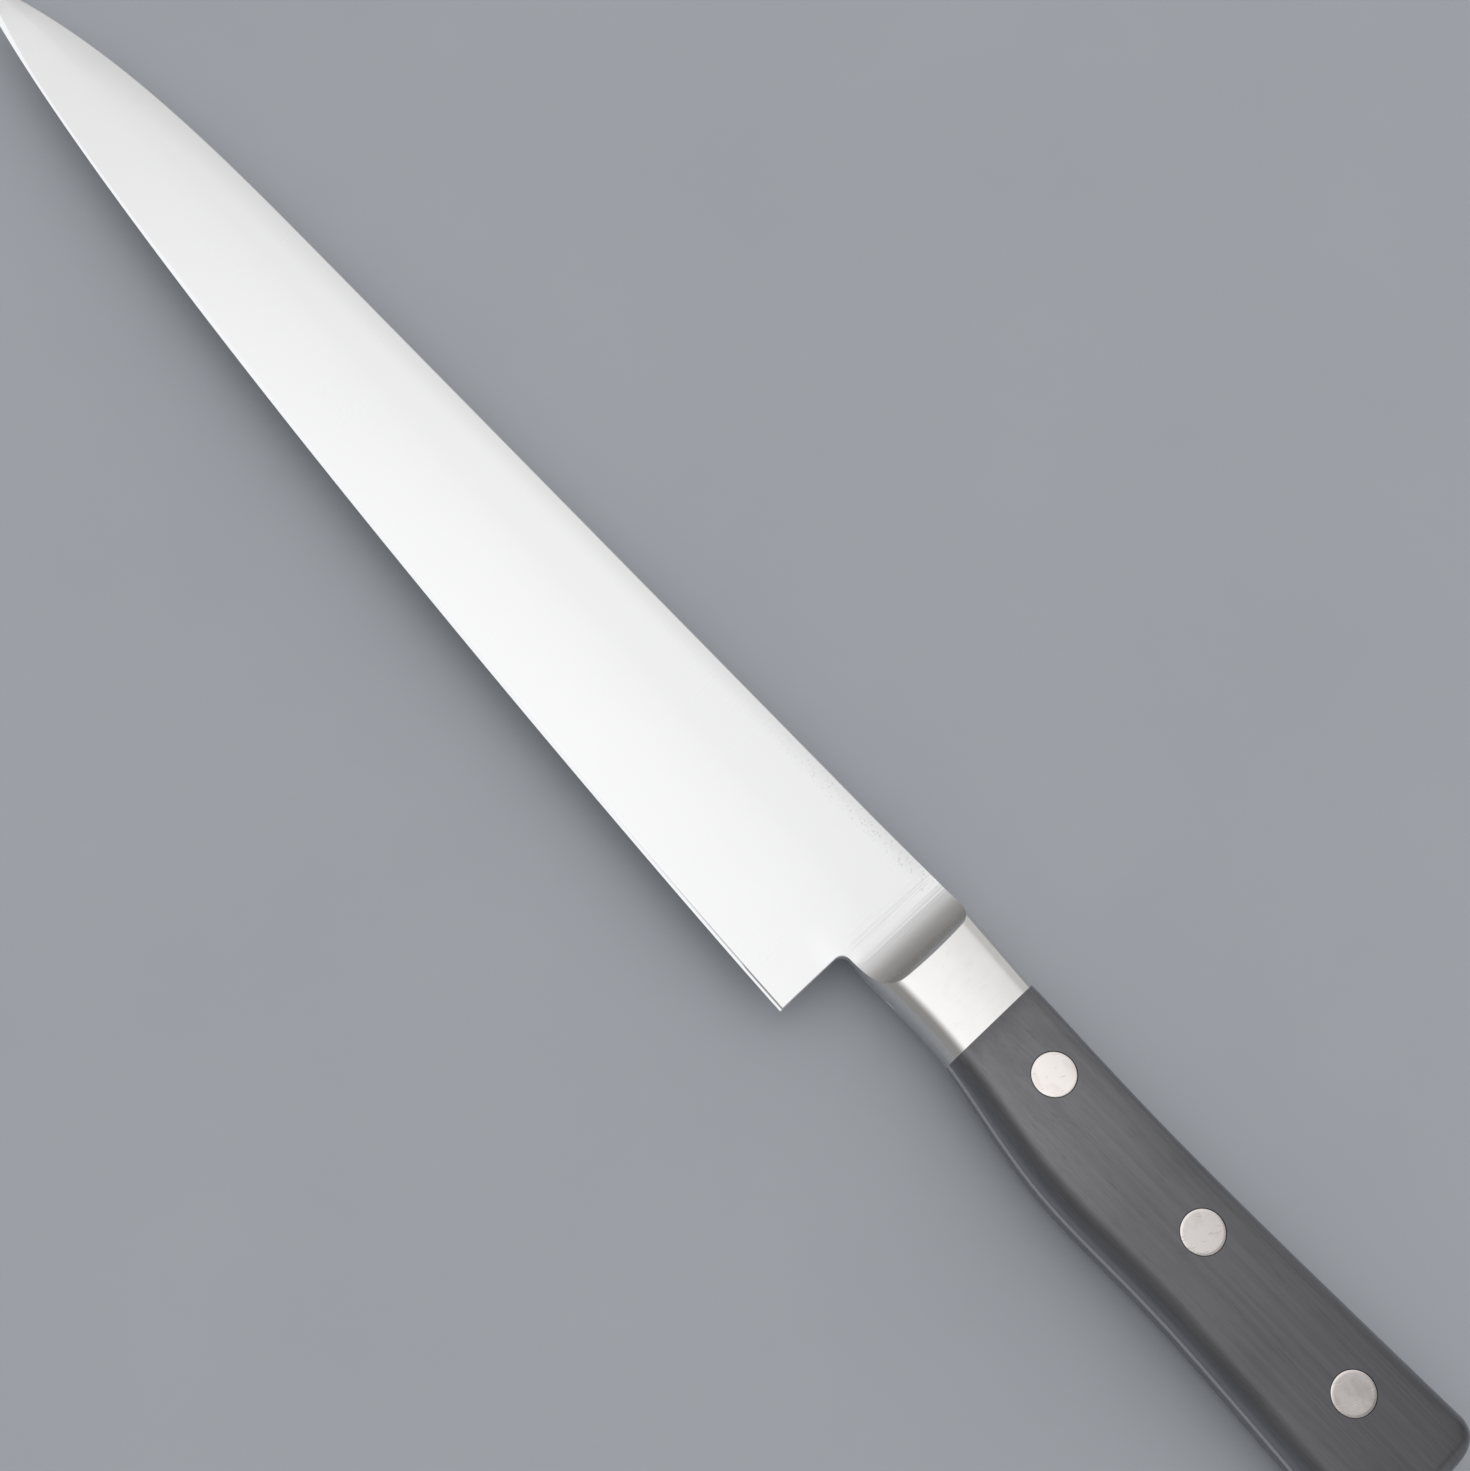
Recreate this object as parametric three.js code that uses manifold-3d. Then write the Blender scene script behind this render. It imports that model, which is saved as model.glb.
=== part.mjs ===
// A sujihiki: a long, narrow slicing knife with a riveted western handle, lying on its right side.
// Millimetres. +X runs from the tip to the butt, +Y to the spine, +Z up out of the knife's left face.
// The drawing has x = 0 at the bolster's front edge, y = 0 on the spine there and z = 0 in the middle of
// the steel. The finished group is moved so that its origin lies under the middle of its box.

import * as THREE from "three";
import { mergeVertices } from "three/addons/utils/BufferGeometryUtils.js";
import Module from "manifold-3d";

const wasm = await Module();
wasm.setup();

// Blade: one steel blank with its neck and full tang
const BLADE_LENGTH = 240; // heel to tip
const HEEL_HEIGHT = 36; // spine down to the edge at the heel
const TIP_DROP = 11.4; // spine down to the tip
const SPINE_FALL = 0.9; // fall of the straight spine before its curve
const SPINE_CURVE = 91; // length over which the spine comes down to the tip
const SPINE_LEAD = 35; // how far the straight spine pulls on that curve
const TIP_SHOULDER = 0.85; // height that pulls the curve up just behind the tip
const TIP_LEAD = 25; // where that pull sits, behind the tip
const EDGE_LEAD = 39; // how far the heel pulls on the edge's curve
const EDGE_RISE = 1.3; // rise of the edge over that lead
const BELLY_LEAD = 46; // where the belly pulls on the edge, behind the tip
const BELLY_DROP = 25.6; // depth of that pull below the spine
const TIP_BLUNT = 0.6; // length taken off the needle point
const BLADE_THICKNESS = 2.2; // at the spine, and all through the neck and the tang
const TIP_THICKNESS = 1; // at the spine, near the tip
const EDGE_BEVEL = 1.2; // height of the sharpened bevel
const SHOULDER_THICKNESS = 0.36; // steel left behind the bevel
const SPINE_EASE = 0.25; // eased corner along the spine
const TIP_SHARES = { shoulder: 0.6, bevel: 0.25, ease: 0.2 }; // most that these may take of the narrowing tip
const FLAT_DEPTH = 0.35; // share of the blade's height, from the spine, where its faces stay parallel
const GRIND_DEPTHS = [0.72, 0.86]; // further shares of the height where the grind is drawn
const GRIND_POWER = 1.7; // roundness of the convex grind
const GRIND_FADE = 3; // length in front of the heel where the grind runs out into the flat neck

// Neck and choil
const NECK_LENGTH = 11; // heel to the bolster's front edge
const NECK_HEIGHT = 21; // spine down to the neck's underside
const CHOIL_RADIUS = 1.9; // round corner between the heel and the neck
const NECK_JOIN = 8.5; // where the ground blade meets the flat neck, ahead of the bolster
const NECK_MARGIN = 0.5; // how far the flat of the neck reaches below its underside at that join

// Handle outline, seen from the side
const HANDLE_LENGTH = 121.5; // bolster's front edge to the butt
const TOP_FRONT = 0.5; // top line below the spine, at the bolster's front
const TOP_WAIST = 2.7; // top line at its lowest
const TOP_WAIST_X = 50;
const TOP_BUTT = 0.7; // top line at the butt
const BELLY_DEPTH = 25.4; // bottom line under the first finger
const BELLY_X = 42;
const WAIST_DEPTH = 25.6; // bottom line under the third finger
const WAIST_X = 75;
const BUTT_DEPTH = 28.2; // bottom line at the butt
const BUTT_TOP_RADIUS = 5;
const BUTT_BOTTOM_RADIUS = 9;
const BUTT_EDGE_RADIUS = 2.5; // round edge between a scale's face and its butt end

// Handle section, seen along the knife
const BOLSTER_LENGTH = 15.5;
const BOLSTER_BOTTOM = 21.4; // bottom line at the bolster's rear
const BOLSTER_THICKNESS = 12;
const HANDLE_THICKNESS = 17.2; // across both scales at the middle
const SWELL_LENGTH = 39.5; // length behind the bolster over which the scales reach that thickness
const SWELL_POWER = 2.2; // how early the scales swell along that length
const TOP_ROUND = 3.2; // round corner along the top
const BOTTOM_ROUND = 4.2; // round corner along the bottom
const LEAST_WALL = 0.1; // straight wall that a round corner leaves above the steel
const CROWN = 0.25; // how far each side face falls away from its flat middle
const LAND = 7; // width of that flat middle
const SCOOP_LENGTH = 9.5; // hollow that runs from the blade up to the bolster
const SCOOP_LIP = 0.15; // thickness of the cheek's front lip on the blade
const SCOOP_PAST = 0.6; // how far the hollow's round runs on above the bolster's face

// Rivets: two-piece, pressed together through the tang and ground flush
const RIVET_COUNT = 3;
const RIVET_NAMES = ["front", "middle", "rear"];
const FIRST_RIVET = 29; // from the bolster's front edge
const RIVET_PITCH = 36;
const FIRST_RIVET_DROP = 10.8; // below the spine
const LAST_RIVET_DROP = 12.2;
const HEAD_DIAMETER = 8;
const HEAD_DEPTH = 3; // thickness of a head at its thickest
const SHANK_DIAMETER = 5.2; // outside of the hollow shank
const SHANK_ROOT = 1; // how far a shank or a pin is rooted in its own head
const PIN_DIAMETER = 3;
const PIN_PRESS_GAP = 0.05; // gap all round the pin in the hollow shank
const SHANK_END_GAP = 0.4; // from the shank's end to the other head, and from the pin's end to its socket
const HOLE_GAP = 0.08; // gap all round a rivet in the scales and the tang
const FLUSH_GAP = 0.03; // how far a head stays below the scale's face

// Fineness of the drawing
const ROUND_STEPS = 6; // facets in a quarter of a round corner
const CIRCLE_STEPS = 32; // facets round a rivet
const CHOIL_STEPS = 8; // facets in the choil's corner
const SCOOP_STEPS = 16; // facets in the bolster's hollow
const BLADE_STEPS = 32; // sections along the blade
const BLADE_CROWDING = 1.5; // how strongly those sections crowd towards the tip
const HANDLE_STEPS = 16; // sections along the handle
const BUTT_STEPS = 9; // sections round the butt's corners
const HALVINGS = 40; // halvings in the search for a place on a curve
const MERGE = 1e-5; // vertices closer than this are one

// Places that follow from the sizes
const TIP_X = -(NECK_LENGTH + BLADE_LENGTH);
const HEEL_X = -NECK_LENGTH;
const JOIN_X = -NECK_JOIN;
const CURVE_X = TIP_X + SPINE_CURVE;
const BOLSTER_X = BOLSTER_LENGTH;
const BUTT_X = HANDLE_LENGTH;
const STEEL_Z = BLADE_THICKNESS / 2;
const BOLSTER_Z = BOLSTER_THICKNESS / 2;
const HANDLE_Z = HANDLE_THICKNESS / 2;
const SCOOP_RISE = BOLSTER_Z - STEEL_Z;
const SCOOP_RADIUS = (SCOOP_LENGTH ** 2 + SCOOP_RISE ** 2) / (2 * SCOOP_RISE);
const REACH = HEEL_HEIGHT + HANDLE_THICKNESS; // length of a cutting block, past any section that it cuts

const steel = new THREE.MeshStandardMaterial({ color: 0xd8d9da, roughness: 0.28, metalness: 1 });
const bolsterSteel = new THREE.MeshStandardMaterial({ color: 0xd2cfca, roughness: 0.22, metalness: 1 });
const blackWood = new THREE.MeshStandardMaterial({ color: 0x18191c, roughness: 0.42, metalness: 0 });
const nickelSilver = new THREE.MeshStandardMaterial({ color: 0xdccfc8, roughness: 0.3, metalness: 1 });

const point = (x, y) => new THREE.Vector2(x, y);

// Height of an outline curve at a given x. Every outline here runs steadily along x.
function heightAt(curve, x) {
  const rising = curve.getPoint(1).x > curve.getPoint(0).x;
  let low = 0;
  let high = 1;
  for (let step = 0; step < HALVINGS; step++) {
    const middle = (low + high) / 2;
    const beyond = curve.getPoint(middle).x > x;
    if (beyond === rising) high = middle;
    else low = middle;
  }
  return curve.getPoint((low + high) / 2).y;
}

// A closed mesh as a solid that can be joined or cut.
function solid(geometry) {
  const bare = geometry.clone();
  bare.deleteAttribute("normal");
  bare.deleteAttribute("uv");
  const merged = mergeVertices(bare, MERGE);
  const index = merged.index.array;
  const triangles = [];
  for (let i = 0; i < index.length; i += 3) {
    const [a, b, c] = index.slice(i, i + 3);
    if (a !== b && b !== c && c !== a) triangles.push(a, b, c);
  }
  return new wasm.Manifold(
    new wasm.Mesh({
      numProp: 3,
      vertProperties: merged.attributes.position.array,
      triVerts: new Uint32Array(triangles),
    }),
  );
}

// A solid as a named mesh.
function mesh(name, body, material) {
  const made = body.getMesh();
  const geometry = new THREE.BufferGeometry();
  geometry.setAttribute("position", new THREE.BufferAttribute(made.vertProperties, 3));
  geometry.setIndex(new THREE.BufferAttribute(made.triVerts, 1));
  geometry.computeVertexNormals();
  const result = new THREE.Mesh(geometry, material);
  result.name = name;
  return result;
}

// A skin over sections along x. A section is a closed outline in y and z, counter-clockwise seen from +X.
function loft(sections) {
  const count = sections[0].outline.length;
  const positions = [];
  for (const { x, outline } of sections) {
    for (const p of outline) positions.push(x, p.x, p.y);
  }
  const index = [];
  for (let i = 0; i + 1 < sections.length; i++) {
    for (let j = 0; j < count; j++) {
      const next = (j + 1) % count;
      const a = i * count + j;
      const b = i * count + next;
      const c = (i + 1) * count + next;
      const d = (i + 1) * count + j;
      index.push(a, b, c, a, c, d);
    }
  }
  const last = (sections.length - 1) * count;
  for (const [a, b, c] of THREE.ShapeUtils.triangulateShape(sections[0].outline, [])) {
    index.push(a, c, b);
  }
  for (const [a, b, c] of THREE.ShapeUtils.triangulateShape(sections.at(-1).outline, [])) {
    index.push(last + a, last + b, last + c);
  }
  const geometry = new THREE.BufferGeometry();
  geometry.setAttribute("position", new THREE.Float32BufferAttribute(positions, 3));
  geometry.setIndex(index);
  return geometry;
}

// A cylinder along z between two heights.
function post(x, y, radius, low, high) {
  return new THREE.CylinderGeometry(radius, radius, high - low, CIRCLE_STEPS)
    .rotateX(Math.PI / 2)
    .translate(x, y, (low + high) / 2);
}

// Outline of the blade: a straight spine that curves down to the tip, and one long curve for the edge.
const spineSlope = SPINE_FALL / -CURVE_X;
const tip = point(TIP_X, -TIP_DROP);
const spineCurve = new THREE.CubicBezierCurve(
  point(CURVE_X, -SPINE_FALL),
  point(CURVE_X - SPINE_LEAD, -SPINE_FALL - SPINE_LEAD * spineSlope),
  point(TIP_X + TIP_LEAD, -TIP_SHOULDER),
  tip,
);
const edgeCurve = new THREE.CubicBezierCurve(
  point(HEEL_X, -HEEL_HEIGHT),
  point(HEEL_X - EDGE_LEAD, -HEEL_HEIGHT + EDGE_RISE),
  point(TIP_X + BELLY_LEAD, -BELLY_DROP),
  tip,
);
const spineLine = (x) => (x > CURVE_X ? x * spineSlope : heightAt(spineCurve, x));
const edgeLine = (x) => (x > HEEL_X ? -HEEL_HEIGHT : heightAt(edgeCurve, x));

// Share of the blade's height where the flat of the neck ends.
const neckDepth = (NECK_HEIGHT + NECK_MARGIN) / HEEL_HEIGHT;

// One section of the blade: eased spine, parallel faces, a convex grind and the sharpened bevel.
function bladeSection(x, flatNeck) {
  const top = spineLine(x);
  const bottom = edgeLine(x);
  const height = top - bottom;
  const along = THREE.MathUtils.clamp((x - TIP_X) / BLADE_LENGTH, 0, 1);
  const half = THREE.MathUtils.lerp(TIP_THICKNESS, BLADE_THICKNESS, Math.sqrt(along)) / 2;
  const shoulder = Math.min(SHOULDER_THICKNESS / 2, half * TIP_SHARES.shoulder);
  const bevel = Math.min(EDGE_BEVEL, height * TIP_SHARES.bevel);
  const ease = Math.min(SPINE_EASE, height * TIP_SHARES.ease);
  const face = [point(top, half - ease), point(top - ease, half)];
  for (const depth of [FLAT_DEPTH, neckDepth, ...GRIND_DEPTHS]) {
    const fall = Math.max(0, (depth - FLAT_DEPTH) / (1 - FLAT_DEPTH)) ** GRIND_POWER;
    const ground = THREE.MathUtils.lerp(half, shoulder, fall);
    const flat = flatNeck && depth <= neckDepth;
    face.push(point(top - ease - (height - ease - bevel) * depth, flat ? half : ground));
  }
  face.push(point(bottom + bevel, shoulder));
  const underside = face.map((p) => point(p.x, -p.y)).reverse();
  return { x, outline: [point(bottom, 0), ...underside, ...face] };
}

function bladeStations() {
  const first = TIP_X + TIP_BLUNT;
  const last = HEEL_X - GRIND_FADE;
  const stations = [];
  for (let i = 0; i <= BLADE_STEPS; i++) {
    stations.push(first + (last - first) * (i / BLADE_STEPS) ** BLADE_CROWDING);
  }
  return stations;
}

// Outline of the handle, shared by the tang, the bolster and the scales.
const topCurve = new THREE.SplineCurve([
  point(0, -TOP_FRONT),
  point(TOP_WAIST_X, -TOP_WAIST),
  point(BUTT_X, -TOP_BUTT),
]);
const bottomCurve = new THREE.SplineCurve([
  point(0, -NECK_HEIGHT),
  point(BOLSTER_X, -BOLSTER_BOTTOM),
  point(BELLY_X, -BELLY_DEPTH),
  point(WAIST_X, -WAIST_DEPTH),
  point(BUTT_X, -BUTT_DEPTH),
]);

// How far a round corner of the butt has taken the outline in at x.
function buttCorner(x, radius) {
  const into = x - (BUTT_X - radius);
  return into > 0 ? radius - Math.sqrt(Math.max(0, radius ** 2 - into ** 2)) : 0;
}

function topLine(x) {
  if (x < 0) return THREE.MathUtils.lerp(-TOP_FRONT, spineLine(JOIN_X), x / JOIN_X);
  return heightAt(topCurve, x) - buttCorner(x, BUTT_TOP_RADIUS);
}

function bottomLine(x) {
  if (x < 0) return -NECK_HEIGHT;
  return heightAt(bottomCurve, x) + buttCorner(x, BUTT_BOTTOM_RADIUS);
}

function rivetLine(x) {
  const along = (x - FIRST_RIVET) / ((RIVET_COUNT - 1) * RIVET_PITCH);
  return -THREE.MathUtils.lerp(FIRST_RIVET_DROP, LAST_RIVET_DROP, along);
}

// Height of the handle's side face above the middle of the steel.
function sideHeight(x) {
  const along = THREE.MathUtils.clamp((x - BOLSTER_X) / SWELL_LENGTH, 0, 1);
  const swell = 1 - (1 - along) ** SWELL_POWER;
  return THREE.MathUtils.lerp(BOLSTER_Z, HANDLE_Z, swell) - buttCorner(x, BUTT_EDGE_RADIUS);
}

// Upper half of the handle's section: flat on the steel, round at its outer corners, crowned on its face.
function handleSection(x) {
  const top = topLine(x);
  const bottom = bottomLine(x);
  const side = sideHeight(x);
  const shoulder = side - CROWN;
  const wall = shoulder - STEEL_Z;
  const topRound = Math.min(TOP_ROUND, wall - LEAST_WALL);
  const bottomRound = Math.min(BOTTOM_ROUND, wall - LEAST_WALL);
  const middle = rivetLine(x);
  const outline = [point(bottom, STEEL_Z), point(top, STEEL_Z)];
  for (let i = 0; i <= ROUND_STEPS; i++) {
    const angle = (i / ROUND_STEPS) * (Math.PI / 2);
    const y = top - topRound * (1 - Math.cos(angle));
    outline.push(point(y, shoulder - topRound * (1 - Math.sin(angle))));
  }
  outline.push(point(middle + LAND / 2, side), point(middle - LAND / 2, side));
  for (let i = 0; i <= ROUND_STEPS; i++) {
    const angle = (i / ROUND_STEPS) * (Math.PI / 2);
    const y = bottom + bottomRound * (1 - Math.sin(angle));
    outline.push(point(y, shoulder - bottomRound * (1 - Math.cos(angle))));
  }
  return { x, outline };
}

// Places along the handle, closer together round the butt's corners.
function handleStations() {
  const stations = [];
  const round = Math.max(BUTT_TOP_RADIUS, BUTT_BOTTOM_RADIUS);
  for (let i = 0; i < HANDLE_STEPS; i++) {
    stations.push(THREE.MathUtils.lerp(BOLSTER_X, BUTT_X - round, i / HANDLE_STEPS));
  }
  for (let i = 0; i <= BUTT_STEPS; i++) {
    stations.push(BUTT_X - round * (1 - Math.sin((i / BUTT_STEPS) * (Math.PI / 2))));
  }
  return stations;
}

const rivets = [];
for (let i = 0; i < RIVET_COUNT; i++) {
  const x = FIRST_RIVET + i * RIVET_PITCH;
  rivets.push({ name: RIVET_NAMES[i], x, y: rivetLine(x), seat: sideHeight(x) - HEAD_DEPTH });
}

// Blade, neck and tang: the ground blade, cut at the choil, on a flat tang drilled for the rivets.
function makeBlade() {
  const sections = bladeStations().map((x) => bladeSection(x, false));
  sections.push(bladeSection(JOIN_X, true));
  const choil = new THREE.Shape();
  choil.moveTo(HEEL_X, -HEEL_HEIGHT - REACH);
  choil.lineTo(HEEL_X, -NECK_HEIGHT - CHOIL_RADIUS);
  choil.absarc(HEEL_X + CHOIL_RADIUS, -NECK_HEIGHT - CHOIL_RADIUS, CHOIL_RADIUS, Math.PI, Math.PI / 2, true);
  choil.lineTo(JOIN_X + REACH, -NECK_HEIGHT);
  choil.lineTo(JOIN_X + REACH, -HEEL_HEIGHT - REACH);
  const notch = new THREE.ExtrudeGeometry(choil, {
    depth: REACH,
    bevelEnabled: false,
    curveSegments: CHOIL_STEPS,
  });
  notch.translate(0, 0, -REACH / 2);

  const stations = [JOIN_X, 0, BOLSTER_X / 2, ...handleStations()];
  const outline = stations.map((x) => point(x, bottomLine(x)));
  outline.push(...stations.map((x) => point(x, topLine(x))).reverse());
  const tang = new THREE.ExtrudeGeometry(new THREE.Shape(outline), {
    depth: BLADE_THICKNESS,
    bevelEnabled: false,
  });
  tang.translate(0, 0, -STEEL_Z);

  let body = solid(loft(sections)).subtract(solid(notch)).add(solid(tang));
  for (const { x, y } of rivets) {
    const hole = post(x, y, SHANK_DIAMETER / 2 + HOLE_GAP, -BLADE_THICKNESS, BLADE_THICKNESS);
    body = body.subtract(solid(hole));
  }
  return mesh("blade", body, steel);
}

// Bolster cheek: a block of the handle's own section, hollowed in front down to a thin lip on the blade.
function makeBolster(name) {
  const lipReach = Math.sqrt(2 * SCOOP_RADIUS * SCOOP_LIP - SCOOP_LIP ** 2);
  const front = -SCOOP_LENGTH + lipReach;
  const stations = [front, 0, BOLSTER_X / 2, BOLSTER_X];
  const block = solid(loft(stations.map(handleSection)));
  const centre = point(-SCOOP_LENGTH, STEEL_Z + SCOOP_RADIUS);
  const past = Math.asin((SCOOP_RADIUS - SCOOP_RISE - SCOOP_PAST) / SCOOP_RADIUS);
  const hollow = new THREE.Shape();
  hollow.moveTo(centre.x, centre.y + REACH);
  hollow.lineTo(centre.x, STEEL_Z);
  hollow.absarc(centre.x, centre.y, SCOOP_RADIUS, -Math.PI / 2, -past, false);
  hollow.lineTo(centre.x + SCOOP_RADIUS * Math.cos(past), centre.y + REACH);
  const wheel = new THREE.ExtrudeGeometry(hollow, {
    depth: REACH,
    bevelEnabled: false,
    curveSegments: SCOOP_STEPS,
  });
  wheel.rotateX(Math.PI / 2).translate(0, REACH / 4, 0);
  return mesh(name, block.subtract(solid(wheel)), bolsterSteel);
}

// A scale before it is drilled.
const scaleBlank = loft(handleStations().map(handleSection));

// Scale: bored for each shank and counterbored for each head.
function makeScale(name) {
  let body = solid(scaleBlank);
  for (const { x, y, seat } of rivets) {
    body = body.subtract(solid(post(x, y, SHANK_DIAMETER / 2 + HOLE_GAP, -REACH, REACH)));
    body = body.subtract(solid(post(x, y, HEAD_DIAMETER / 2 + HOLE_GAP, seat, REACH)));
  }
  return mesh(name, body, blackWood);
}

// Head of a rivet, ground to the curve of the scale's face.
function rivetHead({ x, y, seat }) {
  const face = solid(scaleBlank.clone().translate(0, 0, -FLUSH_GAP));
  return solid(post(x, y, HEAD_DIAMETER / 2, seat, HANDLE_Z + HEAD_DEPTH)).intersect(face);
}

// Socket half: a head on a hollow shank that reaches through the tang to the other head.
function makeRivetSocket(rivet) {
  const { x, y, seat } = rivet;
  const bore = PIN_DIAMETER / 2 + PIN_PRESS_GAP;
  const outline = [
    point(0, seat),
    point(bore, seat),
    point(bore, -seat + SHANK_END_GAP),
    point(SHANK_DIAMETER / 2, -seat + SHANK_END_GAP),
    point(SHANK_DIAMETER / 2, seat + SHANK_ROOT),
    point(0, seat + SHANK_ROOT),
  ];
  const shank = new THREE.LatheGeometry(outline, CIRCLE_STEPS).rotateX(Math.PI / 2).translate(x, y, 0);
  return mesh(`${rivet.name}_rivet_socket`, rivetHead(rivet).add(solid(shank)), nickelSilver);
}

// Pin half: a head on a solid pin that is pressed up into the socket.
function makeRivetPin(rivet) {
  const { x, y, seat } = rivet;
  const pin = post(x, y, PIN_DIAMETER / 2, -seat + SHANK_END_GAP, seat + SHANK_ROOT);
  return mesh(`${rivet.name}_rivet_pin`, rivetHead(rivet).add(solid(pin)), nickelSilver);
}

const knife = new THREE.Group();
knife.add(makeBlade());
for (const make of [makeBolster, makeScale]) {
  const kind = make === makeBolster ? "bolster" : "scale";
  const right = make(`${kind}_right`);
  right.scale.z = -1;
  knife.add(make(`${kind}_left`), right);
}
for (const rivet of rivets) {
  const pin = makeRivetPin(rivet);
  pin.scale.z = -1;
  knife.add(makeRivetSocket(rivet), pin);
}

// The origin goes under the middle of the knife's box.
const box = new THREE.Box3().setFromObject(knife);
const centre = box.getCenter(new THREE.Vector3());
knife.position.set(-centre.x, -centre.y, -box.min.z);

export default knife;
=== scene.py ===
import math

import bmesh
import bpy
import numpy as np
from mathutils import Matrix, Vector


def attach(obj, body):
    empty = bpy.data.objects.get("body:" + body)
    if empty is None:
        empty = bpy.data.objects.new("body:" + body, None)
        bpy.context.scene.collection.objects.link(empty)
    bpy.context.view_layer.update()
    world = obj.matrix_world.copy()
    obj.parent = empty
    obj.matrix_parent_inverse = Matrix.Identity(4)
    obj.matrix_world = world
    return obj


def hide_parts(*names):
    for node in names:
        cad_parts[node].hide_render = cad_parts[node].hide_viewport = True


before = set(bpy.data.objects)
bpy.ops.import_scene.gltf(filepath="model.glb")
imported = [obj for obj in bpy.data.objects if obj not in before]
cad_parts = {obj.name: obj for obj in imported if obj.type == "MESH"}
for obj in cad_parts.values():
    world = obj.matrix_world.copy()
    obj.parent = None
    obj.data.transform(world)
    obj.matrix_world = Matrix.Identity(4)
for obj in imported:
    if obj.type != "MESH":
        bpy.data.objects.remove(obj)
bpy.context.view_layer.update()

# Blade: one blank of stainless steel that is also the neck and the full tang. It is ground to a convex
# taper on both sides, rolled off towards the spine, brushed across on a fine belt and honed to a narrow
# bevel. Sizes are millimetres from the bolster's front edge, the line of the spine there and mid-steel.
MM = 0.001
DRAWING_ZERO = (64.45, 18.0, 8.6)
TIP_X, HEEL_X, BUTT_X = -251.0, -11.0, 121.5
TIP_DROP, HEEL_HEIGHT, NECK_HEIGHT = 11.4, 36.0, 21.0
SPINE_CURVE_X, SPINE_FALL = -160.0, 0.9
SPINE_SLOPE = SPINE_FALL / -SPINE_CURVE_X
SPINE_TIP_HANDLE, SPINE_HANDLE = (25.0, -0.85), 35.0
EDGE_TIP_HANDLE, EDGE_HEEL_HANDLE = (46.0, -25.6), (39.0, 1.3)
CHOIL_RADIUS, CHOIL_FLUSH_ANGLE = 1.9, 0.6
NECK_JOIN_X, NECK_RUN, NECK_BLEND = -8.5, 7.0, 5.0
STEEL_HALF, TIP_HALF = 1.1, 0.36
POINT_LENGTH, POINT_POWER, POINT_BLUNT = 14.0, 2.0, 0.3
FLAT_SHARE, GRIND_POWER = 0.35, 1.7
SHOULDER_HALF, SHOULDER_SHARE = 0.3, 0.6
BEVEL_AT_TIP, BEVEL_AT_BELLY, BEVEL_AT_HEEL = 1.3, 0.45, 0.7
BEVEL_SLOPE, BEVEL_SHARE = 0.25, 0.25
TIP_BEVEL_LENGTH, BELLY_START, BELLY_END = 26.0, 40.0, 80.0
HOLLOW_LENGTH, HOLLOW_DEPTH, HOLLOW_SHIFT = 50.0, 0.42, 0.1
SPINE_ROLL, ROLL_AT_HEEL, ROLL_AT_TIP, ROLL_SHARE = 0.043, 3.0, 5.5, 0.4
ROLL_FADE = (HEEL_X - 3, NECK_JOIN_X - 0.5)
RIM_EASE, RIM_FLUSH, EASE_SHARE, RIM_DROP_SHARE = 0.22, 0.02, 0.2, 0.6
EASE_FADE = (HEEL_X - 14, NECK_JOIN_X - 1)
POINT_EASE = RIM_EASE / 3
TOP_FRONT, TOP_DIP, TOP_BUTT = -0.5, (50.0, -2.7), -0.7
BELLY, BOTTOM_BUTT = ((15.5, -21.4), (42.0, -25.4), (75.0, -25.6)), -28.2
TOP_BUTT_RADIUS, BOTTOM_BUTT_RADIUS = 5.0, 9.0


def bezier(a, b, c, d, count=600):
    """A curve from a to d that leaves towards b and arrives from c."""
    t = np.linspace(0, 1, count)[:, None]
    a, b, c, d = (np.array(p, float) for p in (a, b, c, d))
    return a * (1 - t) ** 3 + 3 * b * (1 - t) ** 2 * t + 3 * c * (1 - t) * t**2 + d * t**3


def through(points, count=200):
    """A smooth line through the points, with its slope at each taken from the two beside it."""
    points = np.array(points, float)
    t = np.linspace(0, 1, count)[:, None]
    line = []
    for k in range(len(points) - 1):
        before, start = points[max(k - 1, 0)], points[k]
        end, after = points[k + 1], points[min(k + 2, len(points) - 1)]
        leave, arrive = (end - before) / 2, (after - start) / 2
        bend = (2 * start - 2 * end + leave + arrive) * t**3
        line.append(bend + (3 * end - 3 * start - 2 * leave - arrive) * t**2 + leave * t + start)
    return np.concatenate(line)


spine_curve = bezier(
    (TIP_X, -TIP_DROP),
    (TIP_X + SPINE_TIP_HANDLE[0], SPINE_TIP_HANDLE[1]),
    (SPINE_CURVE_X - SPINE_HANDLE, -SPINE_FALL - SPINE_HANDLE * SPINE_SLOPE),
    (SPINE_CURVE_X, -SPINE_FALL),
)
edge_curve = bezier(
    (TIP_X, -TIP_DROP),
    (TIP_X + EDGE_TIP_HANDLE[0], EDGE_TIP_HANDLE[1]),
    (HEEL_X - EDGE_HEEL_HANDLE[0], EDGE_HEEL_HANDLE[1] - HEEL_HEIGHT),
    (HEEL_X, -HEEL_HEIGHT),
)
grip_top = through([(0, TOP_FRONT), TOP_DIP, (BUTT_X, TOP_BUTT)])
grip_bottom = through([(0, -NECK_HEIGHT), *BELLY, (BUTT_X, BOTTOM_BUTT)])


def spine_line(x):
    """Height of the spine: straight from the neck, then curving down to the tip."""
    return np.where(x > SPINE_CURVE_X, x * SPINE_SLOPE, np.interp(x, *spine_curve.T))


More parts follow.
